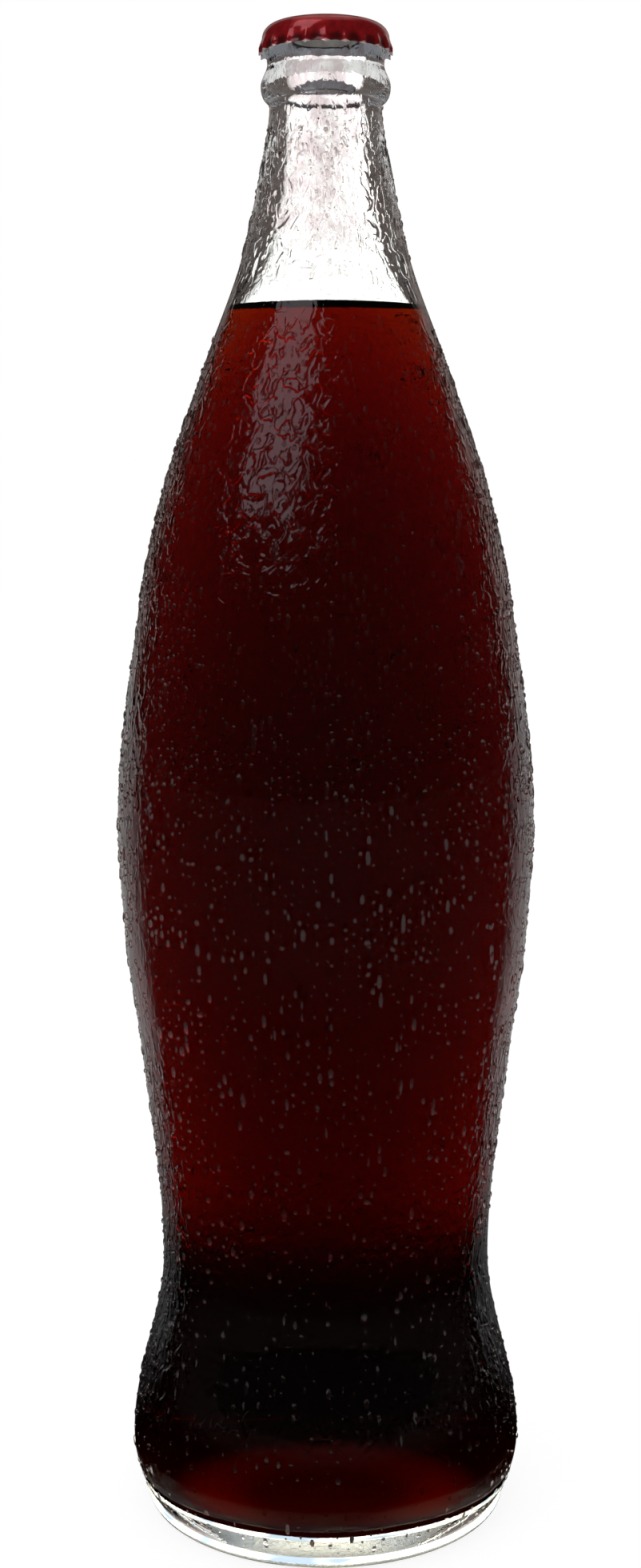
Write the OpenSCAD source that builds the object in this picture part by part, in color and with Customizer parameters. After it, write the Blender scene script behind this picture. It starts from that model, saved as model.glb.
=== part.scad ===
// Glass soda bottle, one litre, full and closed with a crown cap.
// The origin is the centre of the base, +Z is up, and every size is in millimetres.
// The glass is a waisted body with two tiers of raised ribs and a smooth band between them.

/* [Glass body] */
// Height of the glass bottle, from the table to its rim
glass_h = 311; // [290:0.5:330]
// Diameter of the ring that the bottle stands on, at its outer edge
bearing_d = 70.6; // [66:0.2:72]
// Diameter of the foot, the rounded bead at the very bottom
foot_d = 74.8; // [73:0.2:77]
// Height of the foot up to the groove above it
foot_h = 2.4; // [1.6:0.1:4]
// Diameter at the bottom of the groove between foot and heel
groove_d = 74; // [72:0.2:76]
// Diameter of the heel, the swelling above the foot, without its ribs
heel_d = 81; // [79:0.2:84]
// Height of the widest part of the heel
heel_z = 14; // [11:0.5:18]
// Diameter of the waist, without its ribs
waist_d = 68.6; // [64:0.2:72]
// Height of the waist
waist_z = 50.5; // [42:0.5:58]
// Diameter of the skirt below the band, without its ribs
skirt_d = 78.2; // [75:0.2:82]
// Height at which the skirt is measured
skirt_z = 95.5; // [86:0.5:104]
// Diameter at the lower edge of the smooth band
band_low_d = 85.2; // [82:0.2:87]
// Height of the lower edge of the smooth band
band_low_z = 119; // [108:0.5:126]
// Diameter of the belly, the widest part of the bottle
belly_d = 88.4; // [88:0.2:94]
// Height of the belly
belly_z = 143; // [136:0.5:150]
// Diameter at the upper edge of the smooth band
band_high_d = 80; // [77:0.2:83]
// Height of the upper edge of the smooth band
band_high_z = 186; // [178:0.5:192]
// Diameter of the shoulder, without its ribs
shoulder_d = 71.4; // [66:0.2:75]
// Height at which the shoulder is measured
shoulder_z = 208.5; // [200:0.5:220]
// Diameter where the shoulder runs into the neck, without its ribs
collar_d = 51.2; // [48:0.2:54]
// Height at which the collar is measured
collar_z = 240; // [232:0.5:246]
// Diameter at the root of the neck, where the ribs have run out
neck_root_d = 36; // [33:0.2:40]
// Height of the root of the neck
neck_root_z = 262; // [254:0.5:268]
// Diameter half way up the neck
neck_mid_d = 29.1; // [27:0.1:31]
// Height of the middle of the neck
neck_mid_z = 278; // [272:0.5:284]
// Diameter of the neck just below the transfer bead
neck_d = 24; // [23.6:0.1:25.6]

/* [Ribs] */
// Number of ribs round the bottle, the same in both tiers
rib_count = 8; // [6:1:12]
// Height of a rib's crest above the glass
rib_h = 0.8; // [0.3:0.05:1.6]
// How square a rib's section is: 2 is a plain arc, more is flatter on top
rib_power = 2.6; // [2:0.1:5]
// Length of the round end of a rib at the band
rib_band_end = 9; // [4:0.5:18]
// Height at which the lower ribs start on the heel
rib_heel_z = 7; // [5:0.5:12]
// Length of the round end of a rib on the heel
rib_heel_end = 7; // [3:0.5:14]
// Length over which the upper ribs taper out towards the neck
rib_neck_end = 44; // [20:1:60]

/* [Glass wall] */
// Thickness of the glass wall below the neck, without the ribs
wall_t = 2.5; // [2:0.1:4]
// Thickness of the bottom at its middle
bottom_t = 5; // [3.5:0.25:8]
// Thickness of the bottom over the ring that the bottle stands on
bottom_edge_t = 5.4; // [4:0.2:8]
// Radius of the inner corner between wall and bottom
bottom_corner_r = 8; // [5:0.5:14]
// Height of the hollow under the base at its middle
push_up_h = 3; // [1:0.25:5]
// Width of the ring that the bottle stands on
bearing_w = 4.3; // [2:0.1:7]
// Diameter of the bore through the mouth
bore_d = 17; // [15:0.1:17.4]
// Length of the straight bore below the rim
bore_l = 20; // [16:1:26]
// Length over which the bore opens out and the neck's thick wall thins to the body's
bore_flare_l = 44; // [30:1:56]

/* [Crown finish] */
// Diameter of the locking ring that the crown grips
lock_ring_d = 26.6; // [26.2:0.05:27]
// Height of the locking ring's widest place below the rim
lock_ring_drop = 3; // [2.4:0.1:3.6]
// Radius of the rounding at the outside of the rim
rim_round_r = 2.2; // [1.4:0.1:2.4]
// Diameter of the recess below the locking ring
lock_recess_d = 25; // [24.4:0.1:26]
// Height of the recess below the rim
lock_recess_drop = 7.4; // [6.6:0.1:8.2]
// Diameter of the transfer bead below the crown
bead_d = 27.8; // [26.8:0.1:29]
// Height of the transfer bead's widest place below the rim
bead_drop = 12.2; // [10.5:0.1:13.5]
// Height of the place where the bead meets the neck, below the rim
bead_end_drop = 15.6; // [14.8:0.1:17]

/* [Crown cap] */
// Outer diameter of the crimped crown over its teeth
crown_d = 28.7; // [28.6:0.05:29.4]
// Height of the crown from its teeth to its top
crown_h = 6.6; // [5.9:0.1:7.2]
// Thickness of the tinplate sheet
sheet_t = 0.24; // [0.2:0.01:0.28]
// Number of flutes in the crown's skirt
flute_count = 21; // [15:2:27]
// How narrow the ridges between the flutes are
ridge_sharpness = 4; // [1:0.5:6]
// Radius of the crown's shoulder
crown_shoulder_r = 3; // [2.4:0.1:3.4]
// Gap between the crown's skirt and the locking ring
ring_gap = 0.1; // [0.05:0.01:0.2]
// Thickness of the sealing liner where the rim presses on it
liner_t = 0.76; // [0.5:0.02:1]
// Thickness of the liner's thin middle
liner_web_t = 0.3; // [0.2:0.02:0.45]
// Inner diameter of the liner's thick ring
liner_ring_in_d = 17.4; // [16:0.1:18.4]
// Width of the slope on the inside of the liner's thick ring
liner_slope = 0.4; // [0.2:0.05:0.8]
// Gap between the liner's edge and the crown
liner_gap = 0.12; // [0.05:0.01:0.3]

/* [Drink] */
// Height of the drink's surface above the table
fill_z = 250.5; // [200:0.5:268]

/* [Hidden] */
$fn = 96;

glass_colour = [0.86, 0.93, 0.90];
cola_colour = [0.20, 0.03, 0.03];
crown_colour = [0.62, 0.05, 0.06];
liner_colour = [0.90, 0.89, 0.85];

// The body's stations from the heel up: height and radius of the glass without its ribs
neck_z = glass_h - bead_end_drop;
STATIONS = [
    [heel_z, heel_d / 2], [waist_z, waist_d / 2], [skirt_z, skirt_d / 2],
    [band_low_z, band_low_d / 2], [belly_z, belly_d / 2], [band_high_z, band_high_d / 2],
    [shoulder_z, shoulder_d / 2], [collar_z, collar_d / 2], [neck_root_z, neck_root_d / 2],
    [neck_mid_z, neck_mid_d / 2], [neck_z, neck_d / 2]
];
LAST = len(STATIONS) - 1;

// Facets across one rib, and rows of points up the body
rib_facets = 10;
ring_points = rib_count * rib_facets;
rib_turn = 360 / rib_count;
// How far a cut runs on past the face that it opens
cut_extra = 1;
// The neck enters the faceted body just inside its facets
seam_step = 0.03;
seam_depth = 1;
// How fast the heel turns in towards the groove
heel_power = 2.2;

// Slope of the body's curve between two stations, and at one of them. A station that is
// wider or narrower than both its neighbours gets a level tangent, so nothing overshoots.
function chord(i) = (STATIONS[i + 1][1] - STATIONS[i][1]) / (STATIONS[i + 1][0] - STATIONS[i][0]);
function span(i) = STATIONS[i + 1][0] - STATIONS[i][0];
function tangent(i) =
    i == 0 || i == LAST ? 0
    : chord(i - 1) * chord(i) <= 0 ? 0
    : 3 * (span(i - 1) + span(i))
      / ((2 * span(i) + span(i - 1)) / chord(i - 1) + (span(i) + 2 * span(i - 1)) / chord(i));
function station_below(z, i = 0) = i >= LAST - 1 || z <= STATIONS[i + 1][0] ? i : station_below(z, i + 1);
function hermite(t, r0, r1, m0, m1) =
    (2 * t * t * t - 3 * t * t + 1) * r0 + (t * t * t - 2 * t * t + t) * m0
    + (3 * t * t - 2 * t * t * t) * r1 + (t * t * t - t * t) * m1;
function curve_r(z, i) =
    hermite((z - STATIONS[i][0]) / span(i), STATIONS[i][1], STATIONS[i + 1][1],
            tangent(i) * span(i), tangent(i + 1) * span(i));

// Radius of the glass without its ribs, from the table to the top of the neck
function quarter(t) = 1 - sqrt(max(0, 1 - t * t));
foot_share = 0.7;
foot_mid = foot_h * foot_share;
function body_r(z) =
    z < foot_mid ? foot_d / 2 - (foot_d - bearing_d) / 2 * quarter(1 - z / foot_mid)
    : z < foot_h ? foot_d / 2 - (foot_d - groove_d) / 2 * quarter((z - foot_mid) / (foot_h - foot_mid))
    : z < heel_z ? heel_d / 2 - (heel_d - groove_d) / 2 * pow(1 - (z - foot_h) / (heel_z - foot_h), heel_power)
    : curve_r(z, station_below(z));

// Height of a rib at the fraction u across it, where "from" is the distance from each of its
// ends as a share of that end's length: the section and the round ends share one rule
function end_share(z, z0, len0, z1, len1) = max(0, 1 - (z - z0) / len0, 1 - (z1 - z) / len1);
function rib_dome(u, share) =
    let (rho = sqrt(u * u + share * share)) rho >= 1 ? 0 : rib_h * (1 - pow(rho, rib_power));
function rib_rise(z, u) =
    max(rib_dome(u, end_share(z, rib_heel_z, rib_heel_end, band_low_z, rib_band_end)),
        rib_dome(u, end_share(z, band_high_z, rib_band_end, neck_root_z, rib_neck_end)));

// Rows of points from z0 to z1 in n equal steps, without the last one
function rows(z0, z1, n) = [for (i = [0 : n - 1]) z0 + (z1 - z0) * i / n];
// Rows that crowd towards z1
function rows_to(z0, z1, n) = [for (i = [0 : n - 1]) z0 + (z1 - z0) * sin(90 * i / n)];
// Rows that crowd towards z0
function rows_from(z0, z1, n) = [for (i = [0 : n - 1]) z0 + (z1 - z0) * (1 - cos(90 * i / n))];

BODY_ROWS = concat(
    rows_from(0, foot_mid, 3), rows(foot_mid, foot_h, 2),
    rows_from(foot_h, heel_z, 5), rows(heel_z, waist_z, 6),
    rows(waist_z, band_low_z - rib_band_end, 8),
    rows_to(band_low_z - rib_band_end, band_low_z, 6), rows(band_low_z, belly_z, 3),
    rows(belly_z, band_high_z, 5), rows_from(band_high_z, band_high_z + rib_band_end, 6),
    rows(band_high_z + rib_band_end, neck_root_z, 9), [neck_root_z]);

// Closed skin through rings of points that all have the same number of points
module skin(rings) {
    n = len(rings[0]);
    m = len(rings);
    polyhedron(
        points = [for (ring = rings) each ring],
        faces = concat(
            [[for (i = [0 : n - 1]) i]],
            [for (j = [0 : m - 2], i = [0 : n - 1])
                let (k = (i + 1) % n) each [
                    [j * n + i, (j + 1) * n + i, (j + 1) * n + k],
                    [j * n + i, (j + 1) * n + k, j * n + k]]],
            [[for (i = [n - 1 : -1 : 0]) (m - 1) * n + i]]),
        convexity = 4);
}

// Outside of the ribbed body, from the table to the root of the neck
module ribbed_body() {
    skin([for (z = BODY_ROWS) [for (i = [0 : ring_points - 1])
        let (a = 360 * i / ring_points,
             u = 2 * abs(a / rib_turn - round(a / rib_turn)),
             r = body_r(z) + rib_rise(z, u))
        [r * sin(a), -r * cos(a), z]]]);
}

// Points of a circular arc in the (r, z) plane, both ends included
function arc(r, z, radius, a0, a1, n) =
    [for (i = [0 : n]) let (a = a0 + (a1 - a0) * i / n) [r + radius * cos(a), z + radius * sin(a)]];

// Neck, transfer bead, recess and locking ring
neck_rows = 12;
finish_rows = 6;
rim_land_r = lock_ring_d / 2 - rim_round_r;
bead_z = glass_h - bead_drop;
recess_z = glass_h - lock_recess_drop;
ring_z = glass_h - lock_ring_drop;
function ease(t) = (1 - cos(180 * t)) / 2;
module neck_and_finish() {
    rotate_extrude()
        polygon(concat(
            [[0, neck_root_z - seam_depth], [body_r(neck_root_z) - 2 * seam_step, neck_root_z - seam_depth],
             [body_r(neck_root_z) - seam_step, neck_root_z]],
            [for (i = [1 : neck_rows - 1])
                let (z = neck_root_z + (neck_z - neck_root_z) * i / neck_rows) [body_r(z), z]],
            [for (i = [0 : finish_rows]) let (t = i / finish_rows)
                [neck_d / 2 + (bead_d - neck_d) / 2 * sin(90 * t), neck_z + (bead_z - neck_z) * (1 - cos(90 * t))]],
            [for (i = [1 : finish_rows]) let (t = i / finish_rows)
                [bead_d / 2 + (lock_recess_d - bead_d) / 2 * ease(t), bead_z + (recess_z - bead_z) * t]],
            [for (i = [1 : finish_rows]) let (t = i / finish_rows)
                [lock_recess_d / 2 + (lock_ring_d - lock_recess_d) / 2 * ease(t), recess_z + (ring_z - recess_z) * t]],
            arc(rim_land_r, glass_h - rim_round_r, rim_round_r, 0, 90, finish_rows),
            [[0, glass_h]]));
}

// Inside of the bottle, up to the height z_top. Its bottom is lowest round its edge and rises
// over the hollow under the base.
bore_end_z = glass_h - bore_l;
inner_bottom_z = push_up_h + bottom_t;
cavity_start_z = bottom_edge_t + bottom_corner_r;
cavity_rows = 48;
bottom_rows = 10;
corner_rows = 8;
function inner_r(z) =
    let (open_r = body_r(min(z, neck_z)) - wall_t,
         t = min(1, max(0, (bore_end_z - z) / bore_flare_l)))
    bore_d / 2 + (open_r - bore_d / 2) * ease(t);
module cavity(z_top) {
    corner_r = inner_r(cavity_start_z) - bottom_corner_r;
    rotate_extrude()
        polygon(concat(
            [for (i = [0 : bottom_rows - 1]) let (t = i / bottom_rows)
                [corner_r * t, inner_bottom_z + (bottom_edge_t - inner_bottom_z) * ease(t)]],
            arc(corner_r, cavity_start_z, bottom_corner_r, -90, 0, corner_rows),
            [for (i = [1 : cavity_rows])
                let (z = cavity_start_z + (bore_end_z - cavity_start_z) * i / cavity_rows)
                if (z < z_top) [inner_r(z), z]],
            [[inner_r(z_top), z_top], [0, z_top]]));
}

// Hollow under the base: a shallow dome inside the ring that the bottle stands on
push_up_r = bearing_d / 2 - bearing_w;
push_up_sphere_r = (push_up_r * push_up_r + push_up_h * push_up_h) / (2 * push_up_h);
push_up_rows = 8;
module push_up() {
    rotate_extrude()
        polygon(concat(
            [[0, -cut_extra], [push_up_r, -cut_extra]],
            [for (i = [0 : push_up_rows])
                let (r = push_up_r * (1 - i / push_up_rows))
                [r, push_up_h - push_up_sphere_r + sqrt(push_up_sphere_r * push_up_sphere_r - r * r)]]));
}

module bottle() {
    color(glass_colour)
    difference() {
        union() {
            ribbed_body();
            neck_and_finish();
        }
        cavity(glass_h + cut_extra);
        push_up();
    }
}

module cola() {
    color(cola_colour)
    cavity(fill_z);
}

// Crown: the top is flat, the shoulder is round, and the skirt turns into flutes whose
// ridges are narrow and whose hollows lie close round the locking ring
crown_top_z = glass_h + liner_t + sheet_t;
crown_bottom_z = crown_top_z - crown_h;
hollow_in_r = lock_ring_d / 2 + ring_gap;
hollow_r = hollow_in_r + sheet_t;
flute_facets = 8;
crown_points = flute_count * flute_facets;
skirt_rows = 5;
shoulder_rows = 3;
skirt_start_z = crown_top_z - crown_shoulder_r;
// A ridge's share of the full height at the angle a: 1 on the ridge, 0 in the hollow
function ridge(a) = pow((1 + cos(a * flute_count)) / 2, ridge_sharpness);
function crown_ring(r, z, share) =
    [for (i = [0 : crown_points - 1])
        let (a = 360 * i / crown_points, rr = r + share * ridge(a))
        [rr * sin(a), -rr * cos(a), z]];
ridge_h = crown_d / 2 - hollow_r;
shoulder_mid_r = hollow_r - crown_shoulder_r;
module crown_shell() {
    color(crown_colour)
    skin(concat(
        // inside, from the top down
        [crown_ring(shoulder_mid_r, crown_top_z - sheet_t, 0)],
        [for (i = [1 : shoulder_rows]) let (a = 90 - 90 * i / shoulder_rows)
            crown_ring(shoulder_mid_r + (crown_shoulder_r - sheet_t) * cos(a),
                       skirt_start_z + (crown_shoulder_r - sheet_t) * sin(a), 0)],
        [for (i = [1 : skirt_rows]) let (t = i / skirt_rows)
            crown_ring(hollow_in_r, skirt_start_z + (crown_bottom_z - skirt_start_z) * t, ridge_h * t)],
        // outside, from the bottom up
        [for (i = [skirt_rows : -1 : 1]) let (t = i / skirt_rows)
            crown_ring(hollow_r, skirt_start_z + (crown_bottom_z - skirt_start_z) * t, ridge_h * t)],
        [for (i = [shoulder_rows : -1 : 0]) let (a = 90 - 90 * i / shoulder_rows)
            crown_ring(shoulder_mid_r + crown_shoulder_r * cos(a),
                       skirt_start_z + crown_shoulder_r * sin(a), 0)]));
}

// Liner: a thin web with a thick ring that the rim presses on
liner_r = shoulder_mid_r - liner_gap;
module crown_liner() {
    color(liner_colour)
    rotate_extrude()
        polygon([[0, glass_h + liner_t], [0, glass_h + liner_t - liner_web_t],
                 [liner_ring_in_d / 2 - liner_slope, glass_h + liner_t - liner_web_t],
                 [liner_ring_in_d / 2, glass_h], [liner_r, glass_h],
                 [liner_r, glass_h + liner_t]]);
}

bottle();
cola();
crown_shell();
crown_liner();
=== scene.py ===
import math

import bpy
import numpy as np
from bpy.props import (
    FloatProperty,
    FloatVectorProperty,
    IntProperty,
    PointerProperty,
)
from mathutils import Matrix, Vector


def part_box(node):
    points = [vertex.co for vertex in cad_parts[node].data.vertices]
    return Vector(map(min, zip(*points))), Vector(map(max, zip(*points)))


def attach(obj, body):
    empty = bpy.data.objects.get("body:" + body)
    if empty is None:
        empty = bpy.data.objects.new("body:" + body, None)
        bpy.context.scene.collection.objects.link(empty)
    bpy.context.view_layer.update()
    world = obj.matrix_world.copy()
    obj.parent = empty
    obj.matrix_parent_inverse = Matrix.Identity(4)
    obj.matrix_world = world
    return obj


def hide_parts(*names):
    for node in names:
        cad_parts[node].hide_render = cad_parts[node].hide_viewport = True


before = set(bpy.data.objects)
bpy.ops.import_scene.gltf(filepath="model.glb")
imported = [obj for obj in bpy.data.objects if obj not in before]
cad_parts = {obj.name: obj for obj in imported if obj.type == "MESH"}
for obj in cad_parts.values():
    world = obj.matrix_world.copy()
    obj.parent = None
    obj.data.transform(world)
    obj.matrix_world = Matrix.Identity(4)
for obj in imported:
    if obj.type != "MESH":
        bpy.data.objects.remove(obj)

bl_info = {
    "name": "Glass Soda Bottle",
    "version": (1, 0, 0),
    "blender": (4, 5, 0),
    "location": "3D View > Sidebar > Bottle",
    "description": "Dresses a ribbed glass soda bottle, its drink, its crown cap and its condensation",
    "category": "Object",
}

MM = 0.001
BOTTLE_BODY = "filled_bottle"
CAP_BODY = "cap"

SHELL_LOW, SHELL_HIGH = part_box("crown_shell")
RIM_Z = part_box("bottle")[1][2] / MM
FILL_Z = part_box("cola")[1][2] / MM

# Outline of the glass without its ribs, from the heel to the top of the neck: height and
# radius in millimetres
HEEL = (14, 40.5)
WAIST = (50.5, 34.3)
SKIRT = (95.5, 39.1)
BAND_LOW = (119, 42.6)
BELLY = (143, 44.2)
BAND_HIGH = (186, 40)
SHOULDER = (208.5, 35.7)
COLLAR = (240, 25.6)
NECK_ROOT = (262, 18)
NECK_MID = (278, 14.55)
NECK_TOP = (RIM_Z - 15.6, 12)
STATIONS = (
    HEEL, WAIST, SKIRT, BAND_LOW, BELLY, BAND_HIGH, SHOULDER, COLLAR, NECK_ROOT, NECK_MID, NECK_TOP)

# Foot and base, in millimetres
BEARING_R = 35.3
BEARING_W = 4.3
FOOT_R = 37.4
FOOT_MID_Z = 1.68
FOOT_TOP_Z = 2.4
GROOVE_R = 37
HEEL_POWER = 2.2
PUSH_UP_H = 3
BOTTOM_T = 5
BOTTOM_EDGE_T = 5.4
BOTTOM_CORNER_R = 8

# Crown finish, in millimetres: each ring's drop below the rim and its radius
BORE_R = 8.5
BORE_L = 20
BORE_FLARE_L = 44
BEAD = (12.2, 13.9)
RECESS = (7.4, 12.5)
LOCK_RING = (3, 13.3)
RIM_ROUND_R = 2.2

# Ends of the two tiers of ribs: where they start and stop, and how long each end is
HEEL_END = (7, 7)
BAND_END = 9
NECK_END = 44

# Crown cap, in millimetres
CROWN_TOP_Z = SHELL_HIGH[2] / MM
CROWN_BOTTOM_Z = SHELL_LOW[2] / MM
SHEET_T = 0.24
RING_GAP = 0.1
CROWN_SHOULDER_R = 3

# The sides of a shell of revolution that get their own material
OUTSIDE, INSIDE, WETTED, UNDER = 0, 1, 2, 3


# ---------------------------------------------------------------- settings


class GlassSettings(bpy.types.PropertyGroup):
    """Sizes and colours of the glass and the drink"""

    rib_count: IntProperty(
        name="Ribs", description="Number of ribs round the bottle", default=8, min=3)
    rib_height: FloatProperty(
        name="Rib height", description="Height of a rib's crest above the glass",
        default=0.17 * MM, unit="LENGTH", precision=5)
    rib_power: FloatProperty(
        name="Rib squareness", description="2 is a plain arc, more is flatter on top", default=2.6)
    wall: FloatProperty(
        name="Wall", description="Thickness of the glass wall without its ribs",
        default=2.5 * MM, unit="LENGTH", precision=5)
    glass_tint: FloatVectorProperty(
        name="Glass tint", description="Colour that light keeps at each face of the glass",
        subtype="COLOR", default=(0.985, 0.995, 0.98))
    drink_colour: FloatVectorProperty(
        name="Drink colour", description="Colour that light keeps on its way through the drink",
        subtype="COLOR", default=(0.842, 0.53, 0.05))
    drink_strength: FloatProperty(
        name="Drink strength", description="How fast the drink darkens light, per metre",
        default=330.0)


class CrownSettings(bpy.types.PropertyGroup):
    """Sizes and colours of the crown cap"""

    flute_count: IntProperty(
        name="Flutes", description="Number of flutes in the crown's skirt", default=21, min=3)
    ridge_height: FloatProperty(
        name="Ridge height", description="How far a ridge stands out from the hollows",
        default=0.71 * MM, unit="LENGTH", precision=5)
    ridge_sharpness: FloatProperty(
        name="Ridge sharpness", description="Less than 1 makes the ridges between hollows narrower",
        default=0.75)
    lip: FloatProperty(
        name="Lip", description="How far the hollows' lower edge turns out",
        default=0.22 * MM, unit="LENGTH", precision=5)
    scallop: FloatProperty(
        name="Scallop", description="How far the hollows' lower edge is drawn up",
        default=0.6 * MM, unit="LENGTH", precision=5)
    lacquer: FloatVectorProperty(
        name="Lacquer", description="Colour of the lacquer on the tinplate", subtype="COLOR",
        default=(0.34, 0.005, 0.009))
    tin: FloatVectorProperty(
        name="Tin", description="Colour of the bare tinplate", subtype="COLOR",
        default=(0.42, 0.42, 0.44))
    liner_colour: FloatVectorProperty(
        name="Liner", description="Colour of the sealing liner", subtype="COLOR",
        default=(0.80, 0.79, 0.74))


class WetSettings(bpy.types.PropertyGroup):
    """Condensation on the glass"""

    bead_radius: FloatProperty(
        name="Bead radius", description="Radius of an ordinary bead of water",
        default=0.42 * MM, unit="LENGTH", precision=5)
    run_radius: FloatProperty(
        name="Run radius", description="Half width of a run of water",
        default=0.5 * MM, unit="LENGTH", precision=5)
    film_depth: FloatProperty(
        name="Film depth", description="Unevenness of the film of water between the beads",
        default=0.17 * MM, unit="LENGTH", precision=5)
    seed: IntProperty(name="Seed", description="Changes where the beads sit", default=7)


class StageSettings(bpy.types.PropertyGroup):
    """Floor, light and camera"""

    camera_distance: FloatProperty(
        name="Camera distance", description="From the bottle's axis to the camera",
        default=0.457, unit="LENGTH")
    camera_height: FloatProperty(
        name="Camera height", description="Height of the camera above the floor",
        default=0.2055, unit="LENGTH")
    floor_colour: FloatVectorProperty(
        name="Floor", description="Colour of the floor", subtype="COLOR", default=(0.9, 0.9, 0.9))


# ---------------------------------------------------------------- outlines


def smooth(t):
    """Rises from 0 to 1 with level ends."""
    return t * t * (3 - 2 * t)


def quarter(t):
    """Quarter of a circle: 0 at 0 and 1 at 1, steep at the end."""
    return 1 - math.sqrt(max(0.0, 1 - t * t))


def span(i):
    return STATIONS[i + 1][0] - STATIONS[i][0]


def chord(i):
    return (STATIONS[i + 1][1] - STATIONS[i][1]) / span(i)


def tangent(i):
    """Slope at a station: level at both ends and wherever the outline turns back."""
    if i in (0, len(STATIONS) - 1) or chord(i - 1) * chord(i) <= 0:
        return 0.0
    near, far = 2 * span(i) + span(i - 1), span(i) + 2 * span(i - 1)
    return 3 * (span(i - 1) + span(i)) / (near / chord(i - 1) + far / chord(i))


def station_curve(z):
    """Radius between the heel and the top of the neck."""
    i = max(k for k in range(len(STATIONS) - 1) if k == 0 or z >= STATIONS[k][0])
    t = min(1.0, (z - STATIONS[i][0]) / span(i))
    low, high = STATIONS[i][1], STATIONS[i + 1][1]
    return (
        (1 - smooth(t)) * low
        + smooth(t) * high
        + (t**3 - 2 * t**2 + t) * tangent(i) * span(i)
        + (t**3 - t**2) * tangent(i + 1) * span(i)
    )


def glass_radius(z):
    """Radius of the glass without its ribs, from the table to the top of the neck."""
    if z < FOOT_MID_Z:
        return FOOT_R - (FOOT_R - BEARING_R) * quarter(1 - z / FOOT_MID_Z)
    if z < FOOT_TOP_Z:
        return FOOT_R - (FOOT_R - GROOVE_R) * quarter((z - FOOT_MID_Z) / (FOOT_TOP_Z - FOOT_MID_Z))
    if z < HEEL[0]:
        rest = 1 - (z - FOOT_TOP_Z) / (HEEL[0] - FOOT_TOP_Z)
        return HEEL[1] - (HEEL[1] - GROOVE_R) * rest**HEEL_POWER
    return station_curve(z)


def bore_radius(z, wall):
    """Radius of the inside of the glass above the corner of its bottom."""
    open_r = glass_radius(min(z, NECK_TOP[0])) - wall
    t = min(1.0, max(0.0, (RIM_Z - BORE_L - z) / BORE_FLARE_L))
    return BORE_R + (open_r - BORE_R) * (1 - math.cos(math.pi * t)) / 2


def arc(r, z, radius, start, stop, steps):
    """Points (radius, height) along an arc, with its angles in degrees."""
    angles = [math.radians(start + (stop - start) * i / steps) for i in range(steps + 1)]
    return [(r + radius * math.cos(a), z + radius * math.sin(a)) for a in angles]


def rows(start, stop, steps):
    """Heights from start towards stop, without stop."""
    return [start + (stop - start) * i / steps for i in range(steps)]


def underside():
    """The hollow under the base, from its middle to the ring that the bottle stands on."""
    edge = BEARING_R - BEARING_W
    sphere = (edge * edge + PUSH_UP_H * PUSH_UP_H) / (2 * PUSH_UP_H)
    radii = rows(0, edge, 18) + [edge]
    return [(r, PUSH_UP_H - sphere + math.sqrt(sphere * sphere - r * r)) for r in radii]


def finish_outline():
    """The crown finish: transfer bead, recess, locking ring and rounded rim."""
    bead_z, recess_z, ring_z = (RIM_Z - drop for drop in (BEAD[0], RECESS[0], LOCK_RING[0]))
    points = []
    for i in range(1, 13):
        turn = math.pi / 2 * i / 12
        rise = (bead_z - NECK_TOP[0]) * (1 - math.cos(turn))
        points.append((NECK_TOP[1] + (BEAD[1] - NECK_TOP[1]) * math.sin(turn), NECK_TOP[0] + rise))
    for (r0, z0), (r1, z1) in (
        ((BEAD[1], bead_z), (RECESS[1], recess_z)),
        ((RECESS[1], recess_z), (LOCK_RING[1], ring_z)),
    ):
        for i in range(1, 10):
            t = (1 - math.cos(math.pi * i / 9)) / 2
            points.append((r0 + (r1 - r0) * t, z0 + (z1 - z0) * i / 9))
    return points + arc(LOCK_RING[1] - RIM_ROUND_R, RIM_Z - RIM_ROUND_R, RIM_ROUND_R, 0, 90, 10)


def body_rows():
    """Heights of the glass's rows, closer together where its form turns quickly."""
    band_low, band_high = BAND_LOW[0], BAND_HIGH[0]
    return (
        [FOOT_MID_Z * (1 - math.cos(math.pi / 2 * i / 7)) for i in range(7)]
        + rows(FOOT_MID_Z, FOOT_TOP_Z, 4)
        + [FOOT_TOP_Z + (HEEL[0] - FOOT_TOP_Z) * (i / 14) ** 1.5 for i in range(14)]
        + rows(HEEL[0], band_low - BAND_END, 64)
        + rows(band_low - BAND_END, band_low, 14)
        + rows(band_low, band_high, 40)
        + rows(band_high, band_high + BAND_END, 14)
        + rows(band_high + BAND_END, NECK_TOP[0], 74)
        + [NECK_TOP[0]]
    )


def inner_outline(wall, top_z, swell=0.0):
    """The inside of the glass from the middle of its bottom up to top_z, grown by swell. The
    bottom is lowest round its edge and rises over the hollow under the base."""
    low = PUSH_UP_H + BOTTOM_T
    corner_z = BOTTOM_EDGE_T + BOTTOM_CORNER_R
    corner_r = bore_radius(corner_z, wall) - BOTTOM_CORNER_R
    points = []
    for i in range(14):
        fall = (1 - math.cos(math.pi * i / 14)) / 2
        points.append((corner_r * i / 14, low + (BOTTOM_EDGE_T - low) * fall - swell))
    points += arc(corner_r, corner_z, BOTTOM_CORNER_R + swell, -90, 0, 14)
    steps = round((top_z - corner_z) / 2)
    for i in range(1, steps + 1):
        z = corner_z + (top_z - corner_z) * i / steps
        points.append((bore_radius(z, wall) + swell, z))
    return points


# ---------------------------------------------------------------- mesh making


def new_object(name, data):
    made = bpy.data.objects.new(name, data)
    bpy.context.collection.objects.link(made)
    return made


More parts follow.
